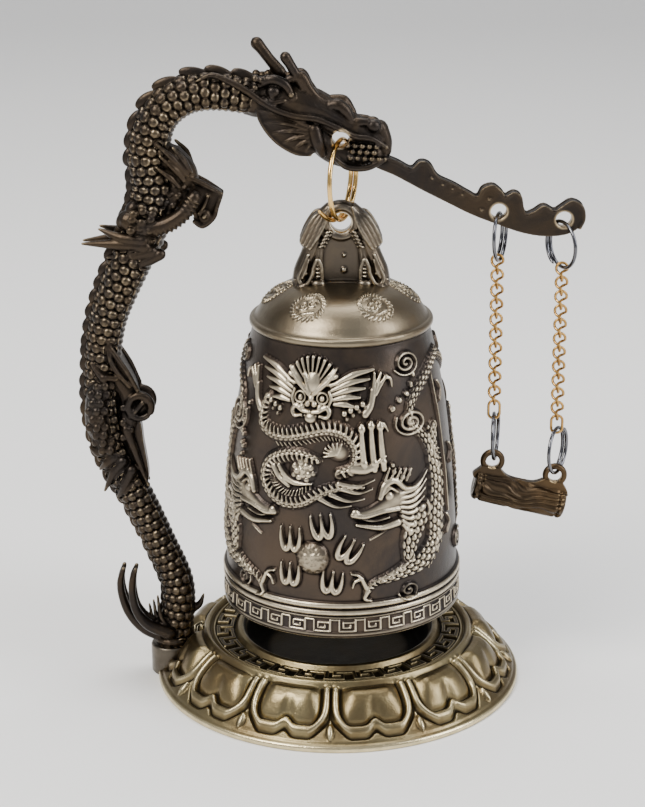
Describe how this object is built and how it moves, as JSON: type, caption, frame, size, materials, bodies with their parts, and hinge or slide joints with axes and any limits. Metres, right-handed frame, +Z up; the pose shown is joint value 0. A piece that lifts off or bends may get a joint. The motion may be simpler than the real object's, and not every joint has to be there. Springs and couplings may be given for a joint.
{
  "type": "temple bell",
  "caption": "Desk temple bell: embossed bronze bell hung by a split ring from a dragon-shaped stand on a lotus base, with a log striker on two chains.",
  "frame": {"origin": "on the resting surface, at the middle of the bounding box in X and Y; the bell and the round base are centred 3 mm to its +X side", "axes": "+Z up; +X from the dragon's body towards the tip of its beam; +Y to the back of the object, away from the pictured side"},
  "size_m": [0.1253, 0.0948, 0.1672],
  "materials": {
    "dragon_bronze": "blackened antique bronze, rubbed on the high points",
    "bell_bronze": "antique bronze with a dark ground and pale rubbed relief",
    "base_bronze": "antique brass with dark recesses",
    "striker_bronze": "dark bronze with rubbed bark ridges",
    "gold_wire": "polished gold plating",
    "chain_gold": "copper-gold plating",
    "black_nickel": "black nickel plating",
    "screw_steel": "plain steel"
  },
  "bodies": {
    "stand": {"base": "base_bronze", "dragon_stand": "dragon_bronze", "stand_screw": "screw_steel"},
    "bell_ring": {"bell_ring": "gold_wire"},
    "bell": {"bell": "bell_bronze"},
    "left_ring": {"upper_ring_left": "black_nickel"},
    "left_chain": {"link_left_01": "chain_gold", "link_left_02": "chain_gold", "link_left_03": "chain_gold", "link_left_04": "chain_gold", "link_left_05": "chain_gold", "link_left_06": "chain_gold", "link_left_07": "chain_gold", "link_left_08": "chain_gold", "link_left_09": "chain_gold", "link_left_10": "chain_gold", "link_left_11": "chain_gold"},
    "striker": {"striker": "striker_bronze", "lower_ring_left": "black_nickel", "lower_ring_right": "black_nickel"},
    "right_ring": {"upper_ring_right": "black_nickel"},
    "right_chain": {"link_right_01": "chain_gold", "link_right_02": "chain_gold", "link_right_03": "chain_gold", "link_right_04": "chain_gold", "link_right_05": "chain_gold", "link_right_06": "chain_gold", "link_right_07": "chain_gold", "link_right_08": "chain_gold", "link_right_09": "chain_gold", "link_right_10": "chain_gold", "link_right_11": "chain_gold", "link_right_12": "chain_gold"}
  },
  "joints": [
    {"name": "bell_swing", "type": "hinge", "parent": "stand", "child": "bell_ring", "pos_m": [0.004, 0, 0.1424], "axis": [0, 1, 0], "range_deg": [-0.25, 2.4]},
    {"name": "bell_sway", "type": "hinge", "parent": "bell_ring", "child": "bell", "pos_m": [0.004, 0, 0.1227], "axis": [1, 0, 0], "range_deg": [-6, 6]},
    {"name": "striker_swing", "type": "hinge", "parent": "stand", "child": "left_ring", "pos_m": [0.0429, 0, 0.1237], "axis": [0, -1, 0], "range_deg": [-3, 35]},
    {"name": "striker_sway", "type": "hinge", "parent": "left_ring", "child": "left_chain", "pos_m": [0.0429, 0, 0.112], "axis": [1, 0, 0], "range_deg": [-6, 6]},
    {"name": "striker_level", "type": "hinge", "parent": "left_chain", "child": "striker", "pos_m": [0.0429, 0, 0.07118], "axis": [0, -1, 0], "range_deg": [-35.5, 3.5]},
    {"name": "right_ring_swing", "type": "hinge", "parent": "stand", "child": "right_ring", "pos_m": [0.059, 0, 0.1216], "axis": [0, -1, 0], "range_deg": [-3.5, 35.5]},
    {"name": "right_chain_sway", "type": "hinge", "parent": "right_ring", "child": "right_chain", "pos_m": [0.059, 0, 0.1099], "axis": [1, 0, 0], "range_deg": [-7, 7]}
  ],
  "couplings": [
    {"joint": "striker_level", "follows": "striker_swing", "ratio": -1},
    {"joint": "right_ring_swing", "follows": "striker_swing", "ratio": 0.9651},
    {"joint": "right_chain_sway", "follows": "striker_sway", "ratio": 1.0492}
  ]
}
